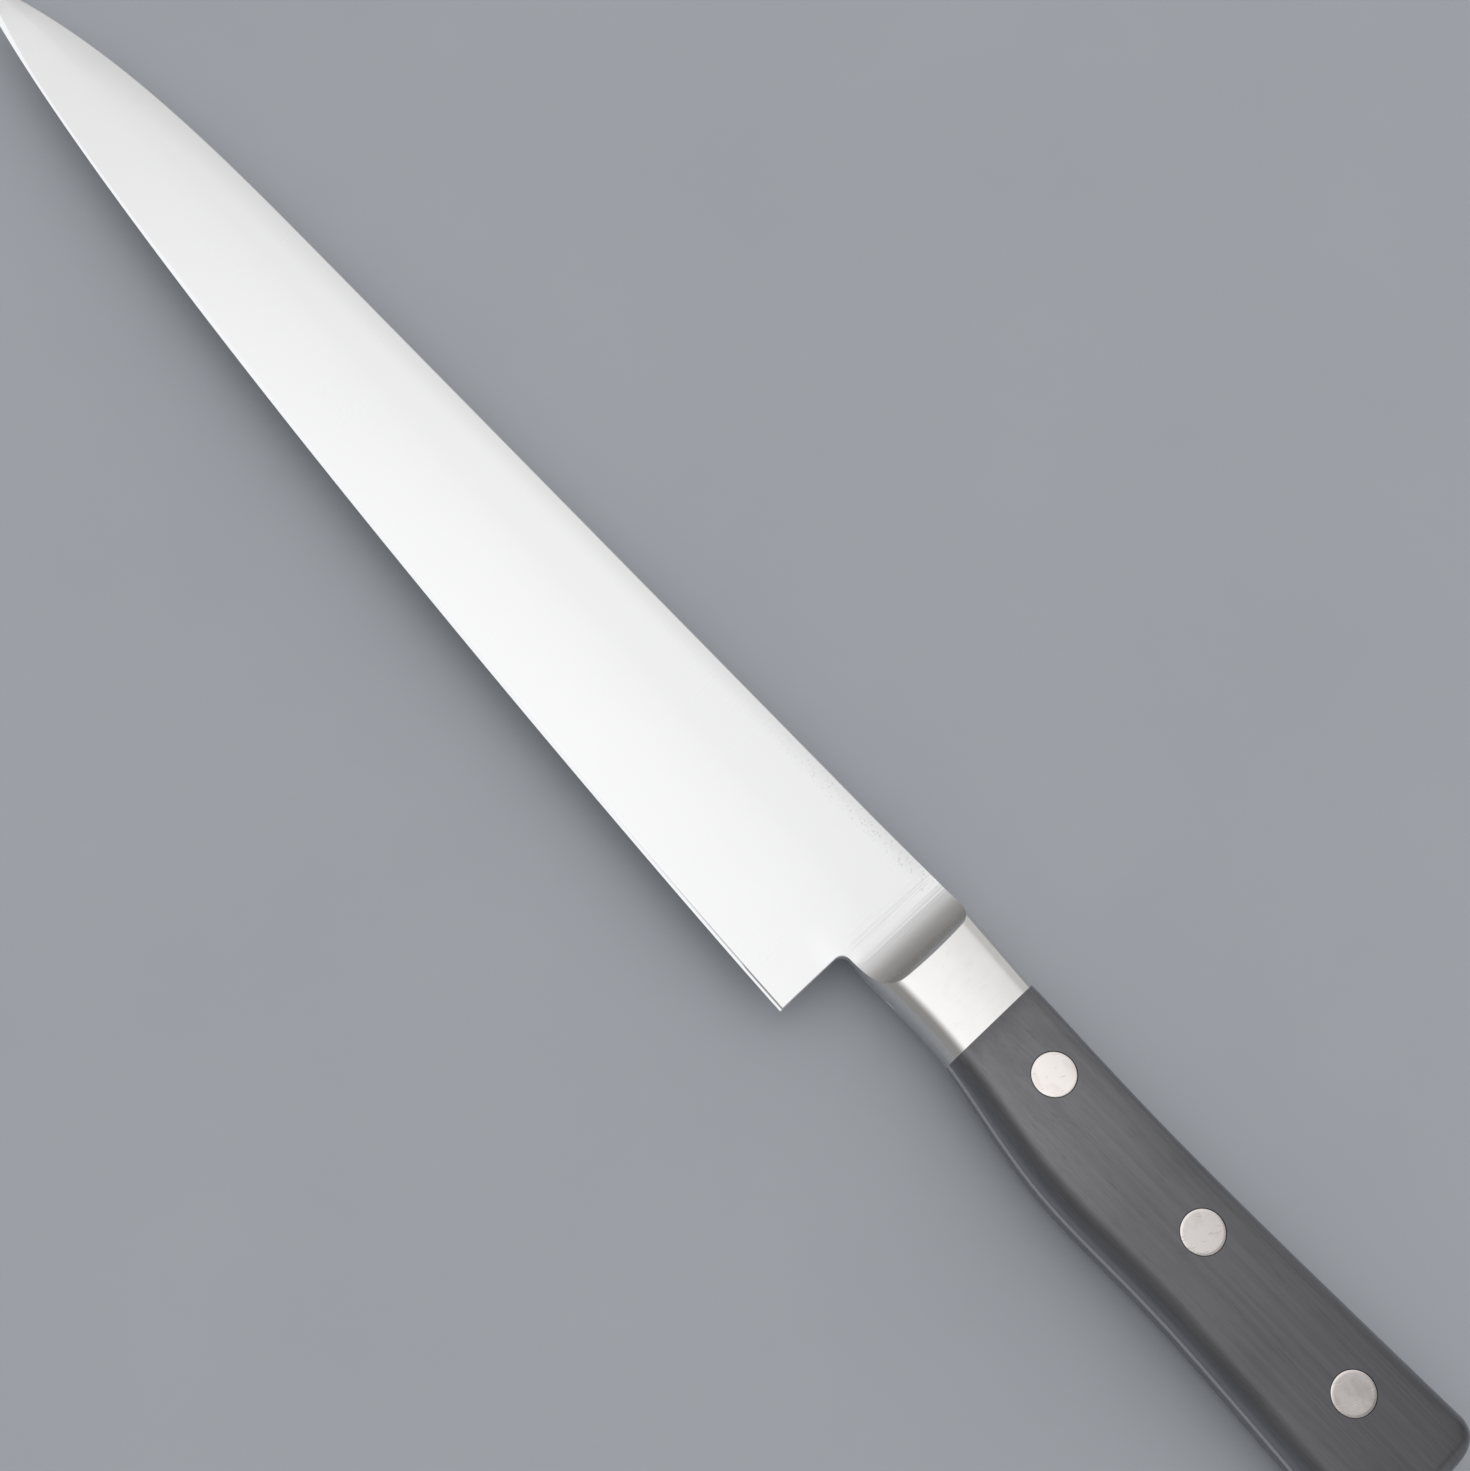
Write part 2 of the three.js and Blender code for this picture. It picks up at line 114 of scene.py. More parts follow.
def edge_line(x):
    """Height of the cutting edge."""
    return np.interp(x, *edge_curve.T)


def butt_corner(x, radius):
    """How far a round corner of the butt has taken an outline in at x."""
    into = np.clip(x - (BUTT_X - radius), 0, radius)
    return radius - np.sqrt(radius**2 - into**2)


def top_line(x):
    """Height of the knife's top, along the spine, the neck and the grip."""
    x = np.asarray(x, float)
    join = spine_line(NECK_JOIN_X)
    neck = join + (TOP_FRONT - join) * (x - NECK_JOIN_X) / -NECK_JOIN_X
    grip = np.interp(x, *grip_top.T) - butt_corner(x, TOP_BUTT_RADIUS)
    return np.where(x < NECK_JOIN_X, spine_line(x), np.where(x < 0, neck, grip))


def bottom_line(x):
    """Height of the underside of the neck and the grip."""
    x = np.asarray(x, float)
    grip = np.interp(x, *grip_bottom.T) + butt_corner(x, BOTTOM_BUTT_RADIUS)
    return np.where(x < 0, -NECK_HEIGHT, grip)


def ramp(value, start, end):
    """0 before start, 1 after end and a soft step between them."""
    t = np.clip((np.asarray(value, float) - start) / (end - start), 0, 1)
    return t * t * (3 - 2 * t)


def bevel_height(x):
    """Broad at the tip, fine along the belly and broader again behind it."""
    tip = (BEVEL_AT_TIP - BEVEL_AT_BELLY) * (1 - ramp(x, TIP_X, TIP_X + TIP_BEVEL_LENGTH))
    heel = (BEVEL_AT_HEEL - BEVEL_AT_BELLY) * ramp(x, TIP_X + BELLY_START, TIP_X + BELLY_END)
    return np.minimum(BEVEL_AT_BELLY + tip + heel, (spine_line(x) - edge_line(x)) * BEVEL_SHARE)


def steel_half(x, y):
    """Half the steel's thickness on the ground faces, above the bevel."""
    top, bottom = spine_line(x), edge_line(x)
    along = np.clip((x - TIP_X) / (HEEL_X - TIP_X), 0, 1)
    half = TIP_HALF + (STEEL_HALF - TIP_HALF) * np.sqrt(along)
    half = half * (1 - np.clip(1 - (x - TIP_X) / POINT_LENGTH, 0, 1) ** POINT_POWER)
    depth = np.clip((top - y) / (top - bottom - bevel_height(x)), 0, 1)
    ground = np.clip((depth - FLAT_SHARE) / (1 - FLAT_SHARE), 0, 1) ** GRIND_POWER
    shoulder = np.minimum(SHOULDER_HALF, half * SHOULDER_SHARE)
    shoulder = np.minimum(shoulder, bevel_height(x) * BEVEL_SLOPE)
    thin = half + (shoulder - half) * ground
    at_neck = ramp(x, HEEL_X - NECK_RUN, NECK_JOIN_X)
    at_neck = at_neck * ramp(y, -NECK_HEIGHT - NECK_BLEND, -NECK_HEIGHT)
    roll_width = ROLL_AT_TIP + (ROLL_AT_HEEL - ROLL_AT_TIP) * along
    roll_width = np.minimum(roll_width, (top - bottom) * ROLL_SHARE)
    roll = SPINE_ROLL * roll_width * np.clip(1 - (top - y) / roll_width, 0, 1) ** 2
    roll = np.minimum(roll, half * ROLL_SHARE) * (1 - ramp(x, *ROLL_FADE))
    return np.where(x > NECK_JOIN_X, STEEL_HALF, thin + (STEEL_HALF - thin) * at_neck - roll)


def rim_ease(x):
    """How far the spine's corners are eased, down to a flush joint at the bolster."""
    return RIM_EASE + (RIM_FLUSH - RIM_EASE) * ramp(x, *EASE_FADE)


def smooth(made, crisp_angle):
    """Smooth shading, crisp at sharp corners and where one finish ends at another."""
    mesh = made.data
    mesh.shade_smooth()
    mesh.set_sharp_from_angle(angle=math.radians(crisp_angle))
    shape = bmesh.new()
    shape.from_mesh(mesh)
    for edge in shape.edges:
        if len({f.material_index for f in edge.link_faces}) > 1:
            edge.smooth = False
    shape.to_mesh(mesh)
    shape.free()


SAME_POINT, THIN_FACE = 1e-4 * MM, 1e-5 * MM


class Skin:
    """Points in millimetres and the faces between them, gathered until they become one piece."""

    def __init__(self):
        self.points, self.faces, self.finishes = [], [], []

    def add(self, points):
        """Numbers of the new points, in the shape that they came in."""
        points = np.asarray(points, float)
        first = len(self.points)
        self.points.extend(points.reshape(-1, 3))
        return np.arange(first, len(self.points)).reshape(points.shape[:-1])

    def face(self, corners, finish=0):
        """A face between numbered points. One that has shrunk to a line is left out."""
        distinct = list(dict.fromkeys(int(c) for c in corners))
        if len(distinct) > 2:
            self.faces.append(distinct)
            self.finishes.append(finish)

    def sheet(self, grid, finish=0):
        """Four-cornered faces between neighbouring rows and columns of a grid of point numbers."""
        for row, after in zip(grid[:-1], grid[1:]):
            for k in range(len(row) - 1):
                self.face((row[k], row[k + 1], after[k + 1], after[k]), finish)

    def mirrored(self):
        """The same skin with its right side added, across the middle of the steel."""
        count = len(self.points)
        self.points.extend([p * (1, 1, -1) for p in self.points])
        for corners, finish in list(zip(self.faces, self.finishes)):
            self.face([c + count for c in reversed(corners)], finish)
        return self

    def on_side(self, way):
        """The same skin, left where it is by 1 and put on the other side of the steel by -1."""
        self.points = [p * (1, 1, way) for p in self.points]
        return self

    def piece(self, name, finishes, crisp_angle=30):
        """One closed mesh in the row's frame, smooth except at its crisp edges."""
        shape = bmesh.new()
        corners = [shape.verts.new((p + np.array(DRAWING_ZERO)) * MM) for p in self.points]
        for face, finish in zip(self.faces, self.finishes):
            shape.faces.new([corners[c] for c in face]).material_index = finish
        bmesh.ops.remove_doubles(shape, verts=shape.verts, dist=SAME_POINT)
        bmesh.ops.dissolve_degenerate(shape, edges=shape.edges, dist=THIN_FACE)
        bmesh.ops.recalc_face_normals(shape, faces=shape.faces)
        mesh = bpy.data.meshes.new(name)
        shape.to_mesh(mesh)
        shape.free()
        made = bpy.data.objects.new(name, mesh)
        bpy.context.scene.collection.objects.link(made)
        for finish in finishes:
            mesh.materials.append(finish)
        smooth(made, crisp_angle)
        return made


RELIEF_UNIT = 0.02 * MM


class Wire:
    """A socket of a finish's nodes. Sums and products of wires add Math nodes."""

    def __init__(self, tree, socket=None):
        self.tree, self.socket = tree, socket

    def node(self, kind, settings, inputs, output=0):
        """One of the outputs of a new node, with its settings and its sockets' values or wires."""
        made = self.tree.nodes.new(kind)
        for name, value in settings.items():
            setattr(made, name, value)
        for name, value in inputs.items():
            if isinstance(value, Wire):
                self.tree.links.new(value.socket, made.inputs[name])
            else:
                made.inputs[name].default_value = value
        return Wire(self.tree, made.outputs[output] if made.outputs else None)

    def math(self, operation, first, second):
        return self.node("ShaderNodeMath", {"operation": operation}, {0: first, 1: second})

    def __add__(self, other):
        return self.math("ADD", self, other)

    def __radd__(self, other):
        return self.math("ADD", other, self)

    def __sub__(self, other):
        return self.math("SUBTRACT", self, other)

    def __rsub__(self, other):
        return self.math("SUBTRACT", other, self)

    def __mul__(self, other):
        return self.math("MULTIPLY", self, other)

    def __rmul__(self, other):
        return self.math("MULTIPLY", other, self)

    def axis(self, number):
        """One of the three numbers of this place."""
        return self.node("ShaderNodeSeparateXYZ", {}, {"Vector": self}, number)

    def turned(self, angle):
        """This place, turned about z so that a grain lies aslant."""
        settings = {"rotation_type": "Z_AXIS"}
        return self.node("ShaderNodeVectorRotate", settings, {"Vector": self, "Angle": angle})

    def stretched(self, along, across, through):
        """This place, counted in grains of the given lengths in millimetres."""
        counts = tuple(1 / (size * MM) for size in (along, across, through))
        return self.node("ShaderNodeVectorMath", {"operation": "MULTIPLY"}, {0: self, 1: counts})

    def noise(self, detail=2.0, roughness=0.5):
        """Cloudy values from 0 to 1 over this place."""
        inputs = {"Vector": self, "Scale": 1.0, "Detail": detail, "Roughness": roughness}
        return self.node("ShaderNodeTexNoise", {}, inputs)

    def step(self, start, end):
        """0 before start, 1 after end and a soft step between them."""
        inputs = {"Value": self, "From Min": start, "From Max": end}
        return self.node("ShaderNodeMapRange", {"interpolation_type": "SMOOTHSTEP"}, inputs)

    def tint(self, dark, light):
        """A colour between two, by this value."""
        return self.blend((*dark, 1.0), (*light, 1.0))

    def blend(self, first, second):
        """A colour between two colours or wires, by this value."""
        return self.node("ShaderNodeMix", {"data_type": "RGBA"}, {0: self, 6: first, 7: second}, 2)

    def bump(self, height, strength):
        """The surface's direction over a relief that is counted in relief units."""
        inputs = {"Height": height, "Strength": strength, "Distance": RELIEF_UNIT}
        return self.node("ShaderNodeBump", {}, inputs)

    def surface(self, **sockets):
        """The finished surface, with its sockets named as the shader has them."""
        named = {name.replace("_", " "): value for name, value in sockets.items()}
        shader = self.node("ShaderNodeBsdfPrincipled", {}, named)
        self.node("ShaderNodeOutputMaterial", {}, {"Surface": shader})


def finish(name):
    """A new material, the start of its wires, and the place on the object."""
    material = bpy.data.materials.new(name)
    material.use_nodes = True
    material.node_tree.nodes.clear()
    start = Wire(material.node_tree)
    return material, start, start.node("ShaderNodeTexCoord", {}, {}, "Object")


def row_x(x):
    """A place along the drawing, in the row's metres."""
    return (x + DRAWING_ZERO[0]) * MM


def row_y(y):
    """A height on the drawing, in the row's metres."""
    return (y + DRAWING_ZERO[1]) * MM


# The belt leaves fine lines from spine to edge. They are coarser where the grind runs up into the neck,
# and the spine's side keeps some of the pits of the forged skin there.
STEEL_SHADE, STEEL = (0.78, 0.778, 0.782), (0.845, 0.843, 0.845)


def brushed(place):
    """Colour, roughness and relief of belt-ground steel."""
    x, y = place.axis(0), place.axis(1)
    neck = x.step(row_x(HEEL_X - 3), row_x(HEEL_X + 2))
    neck = neck * y.step(row_y(-NECK_HEIGHT), row_y(-NECK_HEIGHT + 3))
    forged = x.step(row_x(HEEL_X - 50), row_x(HEEL_X - 10)) * y.step(row_y(-4.5), row_y(-2.5))
    belt = place.stretched(0.16, 45, 45).noise(3.0, 0.6)
    coarse = place.stretched(0.5, 26, 26).noise(2.0, 0.5)
    pits = place.stretched(0.5, 0.5, 0.5).noise(1.0).step(0.6, 0.72) * forged
    cloud = place.stretched(30, 12, 12).noise(2.0)
    colour = (belt * 0.5 + cloud * 0.5 - pits * 0.6).tint(STEEL_SHADE, STEEL)
    roughness = 0.19 + belt * 0.07 + cloud * 0.06 + neck * 0.03 + pits * 0.1
    return colour, roughness, belt * 0.09 + coarse * neck * 10.0 - pits * 0.5


blade_finish, start, place = finish("brushed_blade_steel")
colour, roughness, relief = brushed(place)
start.surface(Base_Color=colour, Metallic=1.0, Roughness=roughness, Normal=start.bump(relief, 0.3))

# The bevel is honed with its scratches slanting across it, and ground a little hollow towards the heel.
BEVEL_SHADE, BEVEL_STEEL, HONING_SLANT = (0.71, 0.715, 0.725), (0.81, 0.815, 0.825), 0.6
bevel_finish, start, place = finish("honed_bevel_steel")
scratches = place.turned(HONING_SLANT).stretched(0.12, 3, 3).noise(2.0, 0.6)
start.surface(
    Base_Color=scratches.tint(BEVEL_SHADE, BEVEL_STEEL),
    Metallic=1.0,
    Roughness=0.14 + scratches * 0.08,
    Normal=start.bump(scratches, 0.1),
)

# Spine, choil, heel and the tang's rim are ground along their length, and polished at the bolster.
RIM_SHADE, RIM_STEEL = (0.66, 0.66, 0.67), (0.8, 0.8, 0.8)
rim_finish, start, place = finish("ground_rim_steel")
x = place.axis(0)
at_bolster = x.step(row_x(-9), row_x(-6)) * (1 - x.step(row_x(15), row_x(16)))
grain = place.stretched(6, 0.12, 0.12).noise(3.0, 0.6)
start.surface(
    Base_Color=grain.tint(RIM_SHADE, RIM_STEEL),
    Metallic=1.0,
    Roughness=0.3 + grain * 0.1 - at_bolster * 0.16,
    Normal=start.bump(grain * (1 - at_bolster), 0.2),
)


def add_rim(skin, stations, steps=4):
    """Rounds the faces over to mid-steel. A station is a point, its way out and how far it is eased."""
    turns = np.linspace(0, math.pi / 2, steps + 1)[1:]
    rim = []
    for number, (nx, ny), gap in stations:
        px, py, pz = skin.points[number]
        drop = min(gap, pz * RIM_DROP_SHARE)
        ring = []
        for a in turns:
            out = math.sin(a)
            ring.append((px + nx * gap * out, py + ny * gap * out, pz - drop * (1 - math.cos(a))))
        ring.append((px + nx * gap, py + ny * gap, 0))
        rim.append(np.concatenate([[number], skin.add(ring)]))
    skin.sheet(np.array(rim), 2)


BLADE_CRISP_ANGLE = 25


def make_blade():
    """The blank with its ground faces, bevel and rim, before the tang is bored."""
    columns, crowding, upper_rows, lower_rows = 240, 1.5, 26, 16
    skin = Skin()

    # Ground faces: columns from the tip to the heel, closer at the tip, and rows from spine to edge.
    first = TIP_X + POINT_BLUNT
    t = np.linspace(0, 1, columns)
    x = first + POINT_EASE + (HEEL_X - RIM_EASE - first) * t**crowding
    x[-1] = HEEL_X - RIM_EASE
    ease = np.minimum(rim_ease(x), (spine_line(x) - edge_line(x)) * EASE_SHARE)
    top, shoulder = spine_line(x) - ease, edge_line(x) + bevel_height(x)
    share = (spine_line(HEEL_X) + NECK_HEIGHT + CHOIL_RADIUS) / (spine_line(HEEL_X) + HEEL_HEIGHT)
    parting = spine_line(x) + (edge_line(x) - spine_line(x)) * share
    parting[-1] = -NECK_HEIGHT - CHOIL_RADIUS
    hollow = ramp(x, HEEL_X - HOLLOW_LENGTH, HEEL_X)
    bevel_middle = shoulder + (edge_line(x) - shoulder) * (0.5 - HOLLOW_SHIFT * hollow)
    upper, lower = np.linspace(top, parting, upper_rows), np.linspace(parting, shoulder, lower_rows)
    across = np.concatenate([upper, lower[1:], [bevel_middle, edge_line(x)]])
    half = steel_half(x, across)
    last = upper_rows + lower_rows - 2
    half[last + 1] = half[last] * (0.5 - HOLLOW_DEPTH * hollow)
    half[last + 2] = 0
    blade = skin.add(np.stack([np.broadcast_to(x, across.shape), across, half], -1))
    skin.sheet(blade[: last + 1])
    skin.sheet(blade[last:], 1)

    # Neck and tang: columns from the heel, round the choil and along the handle to the butt.
    turn = np.linspace(0, math.pi / 2, 14)[1:]
    arc_ease = RIM_EASE + (RIM_FLUSH - RIM_EASE) * ramp(turn, CHOIL_FLUSH_ANGLE, math.pi / 2)
    reach = CHOIL_RADIUS + arc_ease
    arc_x = HEEL_X + CHOIL_RADIUS - reach * np.cos(turn)
    arc_y = -NECK_HEIGHT - CHOIL_RADIUS + reach * np.sin(turn)
    neck_x = np.linspace(HEEL_X + CHOIL_RADIUS, 0, 14)[1:]
    butt = BUTT_X - BOTTOM_BUTT_RADIUS * (1 - np.sin(np.linspace(0, math.pi / 2, 24)))
    grip_x = np.linspace(0, BUTT_X - BOTTOM_BUTT_RADIUS, 50)[1:-1]
    run_x = np.concatenate([neck_x, grip_x, butt - RIM_FLUSH])
    low_x = np.concatenate([arc_x, run_x])
    low_y = np.concatenate([arc_y, bottom_line(run_x) + RIM_FLUSH])
    over_choil = np.linspace(HEEL_X - RIM_EASE, neck_x[0], len(arc_x) + 2)[1:-1]
    high_x = np.concatenate([over_choil, run_x])
    high_y = top_line(high_x) - rim_ease(high_x)
    rows = np.linspace(0, 1, upper_rows)[:, None]
    tang_x, tang_y = high_x + (low_x - high_x) * rows, high_y + (low_y - high_y) * rows
    tang = skin.add(np.stack([tang_x, tang_y, steel_half(tang_x, tang_y)], -1))
    tang = np.concatenate([blade[:upper_rows, -1:], tang], 1)
    skin.sheet(tang)

    # Rim: up the heel from the edge, round the choil, under the handle, up the butt, back along the top
    # and down the blunt point.
    stations = [(n, (1, 0), RIM_EASE) for n in blade[: upper_rows - 2 : -1, -1]]
    for angle, gap, n in zip(turn, arc_ease, tang[-1, 1:]):
        stations.append((n, (math.cos(angle), -math.sin(angle)), gap))
    stations += [(n, (0, -1), RIM_FLUSH) for n in tang[-1, 1 + len(turn) :]]
    stations += [(n, (1, 0), RIM_FLUSH) for n in tang[::-1, -1]]
    stations += [(n, (0, 1), gap) for gap, n in zip(rim_ease(high_x[::-1]), tang[0, :0:-1])]
    stations += [(n, (0, 1), gap) for gap, n in zip(ease[::-1], blade[0, ::-1])]
    stations += [(n, (-1, 0), POINT_EASE) for n in blade[1:, 0]]
    add_rim(skin, stations)
    finishes = [blade_finish, bevel_finish, rim_finish]
    return skin.mirrored().piece("ground_blade", finishes, BLADE_CRISP_ANGLE)


def cut(made, tools):
    """Takes the tools' shapes out of a piece."""
    for tool in tools:
        bore = made.modifiers.new("bore", "BOOLEAN")
        bore.operation, bore.solver, bore.object = "DIFFERENCE", "EXACT", tool
    shaped = bpy.data.meshes.new_from_object(made.evaluated_get(bpy.context.evaluated_depsgraph_get()))
    made.modifiers.clear()
    made.data = shaped
    for tool in tools:
        bpy.data.objects.remove(tool)


def drill(x, y, radius, low, high, sides=64):
    """A round cutter along z between two heights."""
    skin = Skin()
    angles = np.linspace(0, 2 * math.pi, sides, endpoint=False)
    ring = np.stack([x + radius * np.cos(angles), y + radius * np.sin(angles)], -1)
    ends = [skin.add(np.concatenate([ring, np.full((sides, 1), height)], 1)) for height in (low, high)]
    skin.sheet(np.array([np.append(end, end[0]) for end in ends]))
    skin.face(ends[0])
    skin.face(ends[1][::-1])
    return skin.piece("cutter", [])


RIVETS = {"front": 29.0, "middle": 65.0, "rear": 101.0}
FRONT_RIVET_DROP, REAR_RIVET_DROP = 10.8, 12.2
SHANK_RADIUS, HOLE_GAP, TANG_CUT = 2.6, 0.08, 3.0
SHANK_HOLE = SHANK_RADIUS + HOLE_GAP


def rivet_line(x):
    """Height of the rivets' row, and of the middle of the handle's side faces."""
    along = (np.asarray(x, float) - RIVETS["front"]) / (RIVETS["rear"] - RIVETS["front"])
    return -(FRONT_RIVET_DROP + (REAR_RIVET_DROP - FRONT_RIVET_DROP) * along)


ground_blade = make_blade()
cut(ground_blade, [drill(x, rivet_line(x), SHANK_HOLE, -TANG_CUT, TANG_CUT) for x in RIVETS.values()])
smooth(ground_blade, BLADE_CRISP_ANGLE)
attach(ground_blade, "root")
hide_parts("blade")

# Bolster: a steel cheek on each side of the neck, welded on and polished with it. A wheel has hollowed
# its front, so that it sweeps down into the blade from one crisp edge, and its corners are well rounded.
BOLSTER_X, BOLSTER_HALF = 15.5, 6.0
SCOOP_LENGTH, SCOOP_POWER, SCOOP_LIP = 9.75, 2.05, 0.002
HANDLE_HALF, SWELL_LENGTH, SWELL_POWER = 8.6, 39.5, 2.2
SWELL_RISE, SWELL_RISE_LENGTH = 0.3, 4.5
TOP_ROUND, BOTTOM_ROUND, LEAST_WALL = 3.2, 4.2, 0.1
CROWN, BUTT_EDGE_RADIUS = 0.25, 2.5
SIDES = {"left": 1, "right": -1}


def side_height(x):
    """Height of the handle's side face above the middle of the steel."""
    along = np.clip((x - BOLSTER_X) / SWELL_LENGTH, 0, 1)
    swell = BOLSTER_HALF + (HANDLE_HALF - BOLSTER_HALF) * (1 - (1 - along) ** SWELL_POWER)
    behind = np.maximum(x - BOLSTER_X, 0) / SWELL_RISE_LENGTH
    return swell + SWELL_RISE * behind * np.exp(1 - behind) - butt_corner(x, BUTT_EDGE_RADIUS)


class Section:
    """Half of the handle's section at x: walls on the steel, round corners and a crowned face."""

    def __init__(self, x):
        self.x, self.side, self.middle = x, float(side_height(x)), float(rivet_line(x))
        self.edges = {1: float(top_line(x)), -1: float(bottom_line(x))}
        wall = self.side - CROWN - STEEL_HALF - LEAST_WALL
        self.radius = {1: min(TOP_ROUND, wall), -1: min(BOTTOM_ROUND, wall)}
        self.lean, self.width = {}, {}
        for way in (1, -1):
            # The crown's lean at the corner follows from its width, and the width from the lean.
            lean = 0.0
            for _ in range(4):
                corner = self.edges[way] * way - self.radius[way] * (1 - math.sin(lean))
                width = corner - self.middle * way
                lean = math.atan(2 * CROWN / width)
            self.lean[way], self.width[way] = lean, width

    def face(self, y):
        """Height of the crowned face."""
        way = 1 if y > self.middle else -1
        return self.side - CROWN * ((y - self.middle) / self.width[way]) ** 2

    def corner(self, way, count, limit=math.inf):
        """Points from the steel up the wall and round the corner, to the face or to a height limit."""
        radius, lean = self.radius[way], self.lean[way]
        centre_z = self.side - CROWN - radius * math.cos(lean)
        centre_y = self.edges[way] - way * radius
        end = math.pi / 2 - lean
        wall_top = min(limit, centre_z)
        points = [(self.x, self.edges[way], z) for z in np.linspace(STEEL_HALF, wall_top, 4)]
        if limit < centre_z + radius * math.sin(end):
            end = math.asin(max(0.0, (limit - centre_z) / radius))
        for angle in np.linspace(0, end, count)[1:]:
            y = centre_y + way * radius * math.cos(angle)
            points.append((self.x, y, wall_top + radius * math.sin(angle)))
        return points


# Steel polished on a soft wheel: nearly a mirror, with faint wheel lines, a few rubs from use, and the
# belt lines of the blade where the hollow runs out on it.
POLISH_SHADE, POLISH = (0.7, 0.69, 0.675), (0.8, 0.79, 0.775)
bolster_finish, start, place = finish("polished_bolster_steel")
brushed_colour, brushed_roughness, brushed_relief = brushed(place)
x = place.axis(0)
front = 1 - x.step(row_x(-7), row_x(-3.5))
hollow = 1 - x.step(row_x(-3), row_x(0.2))
wheel = place.stretched(0.25, 30, 30).noise(3.0, 0.6)
rubs = place.stretched(1.6, 3.0, 3.0).noise(4.0, 0.65)
cloud = place.stretched(6, 5, 5).noise(2.0)
polished_colour = (wheel * 0.4 + cloud * 0.6).tint(POLISH_SHADE, POLISH)
polished_roughness = 0.1 + rubs.step(0.5, 0.75) * 0.08 + hollow * 0.22 + wheel * 0.04
polished_relief = wheel * (0.1 + hollow * 0.5) + rubs * (1 - hollow) * 0.1
start.surface(
    Base_Color=front.blend(polished_colour, brushed_colour),
    Metallic=1.0,
    Roughness=polished_roughness + (brushed_roughness - polished_roughness) * front,
    Normal=start.bump(polished_relief * (1 - front) + brushed_relief * front, 0.3),
)


def make_cheek(name, way):
    """One cheek, on the left by 1 and on the right by -1."""
    skin = Skin()
    rise = BOLSTER_HALF - STEEL_HALF

    def scoop(x):
        """Height of the hollow."""
        return STEEL_HALF + rise * (1 + x / SCOOP_LENGTH) ** SCOOP_POWER

    def scoop_at(height):
        """Where the hollow reaches a height."""
        return SCOOP_LENGTH * (((height - STEEL_HALF) / rise) ** (1 / SCOOP_POWER) - 1)

    # The walls and the round corners on both sides of the hollow and of the block behind it.
    corner_count, across_count = 14, 25
    crisp = scoop_at(BOLSTER_HALF - CROWN)
    lip = scoop_at(STEEL_HALF + SCOOP_LIP)
    hollow_x = lip + (crisp - lip) * np.sin(np.linspace(0, math.pi / 2, 40))
    block_x = np.linspace(crisp, BOLSTER_X, 22)[1:]
    sections = [Section(x) for x in (*hollow_x, *block_x)]
    limits = [scoop(x) for x in hollow_x[:-1]] + [math.inf] * (1 + len(block_x))
    low = np.array([s.corner(-1, corner_count, limit) for s, limit in zip(sections, limits)])
    high = np.array([s.corner(1, corner_count, limit) for s, limit in zip(sections, limits)])
    low_grid, high_grid = skin.add(low), skin.add(high)
    skin.sheet(low_grid)
    skin.sheet(high_grid[:, ::-1])

    # The hollow, level across at each x, up to the crisp edge that it leaves on the crowned face.
    share = np.linspace(0, 1, across_count)[:, None]
    count = len(hollow_x)
    rows = [start + (end - start) * share for start, end in zip(low[:, -1], high[:, -1])]
    crest = rows[count - 1].copy()
    for p in crest:
        p[2] = sections[count - 1].face(p[1])
        p[0] = scoop_at(min(p[2], BOLSTER_HALF))
    hollow_grid = [skin.add(row) for row in (*rows[:count], crest)]
    skin.sheet(np.array(hollow_grid))

    # The face behind that edge.
    face = [hollow_grid[-1]]
    for section, row in zip(sections[count:], rows[count:]):
        row[:, 2] = [section.face(y) for y in row[:, 1]]
        face.append(skin.add(row))
    skin.sheet(np.array(face))

    # The lip in front, the back against the scale and the underside on the steel.
    skin.face([*low_grid[0], *hollow_grid[0][1:-1], *high_grid[0][::-1]])
    skin.face([*low_grid[-1], *face[-1][1:-1], *high_grid[-1][::-1]])
    skin.sheet(np.stack([low_grid[:, 0], high_grid[:, 0]], 1))
    return skin.on_side(way).piece(name, [bolster_finish])


for side, way in SIDES.items():
    cheek = make_cheek(f"{side}_cheek", way)
    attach(cheek, "root")
    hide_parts(f"bolster_{side}")

# Scales: two slabs of black, resin-filled laminated wood on the tang, flush with the bolster in front and
# swelling behind it. They are sanded to a satin, bored for the rivets and rounded at every corner.
HEAD_RADIUS, HEAD_DEPTH, SCALE_CUT, SCALE_CRISP_ANGLE = 4.0, 3.0, 12.0, 35
WOOD_DARK, WOOD_LIGHT = (0.010, 0.011, 0.014), (0.036, 0.039, 0.048)
WOOD_GLOSS, SCRATCH_SLANT = (0.94, 0.9, 1.0, 1.0), 0.9
wood_finish, start, place = finish("black_laminated_wood")
fibre = place.stretched(22, 0.5, 0.6).noise(4.0, 0.6)
pores = place.stretched(4, 0.14, 0.2).noise(2.0, 0.5).step(0.6, 0.7)
layers = place.stretched(70, 2.6, 0.9).noise(2.0)
worn = place.stretched(18, 9, 9).noise(3.0)
scratches = place.turned(SCRATCH_SLANT).stretched(0.25, 5, 5).noise(1.0).step(0.68, 0.74)
scratches = scratches * worn.step(0.5, 0.65)
grain = (fibre * 0.6 + layers * 0.4).step(0.3, 0.7)
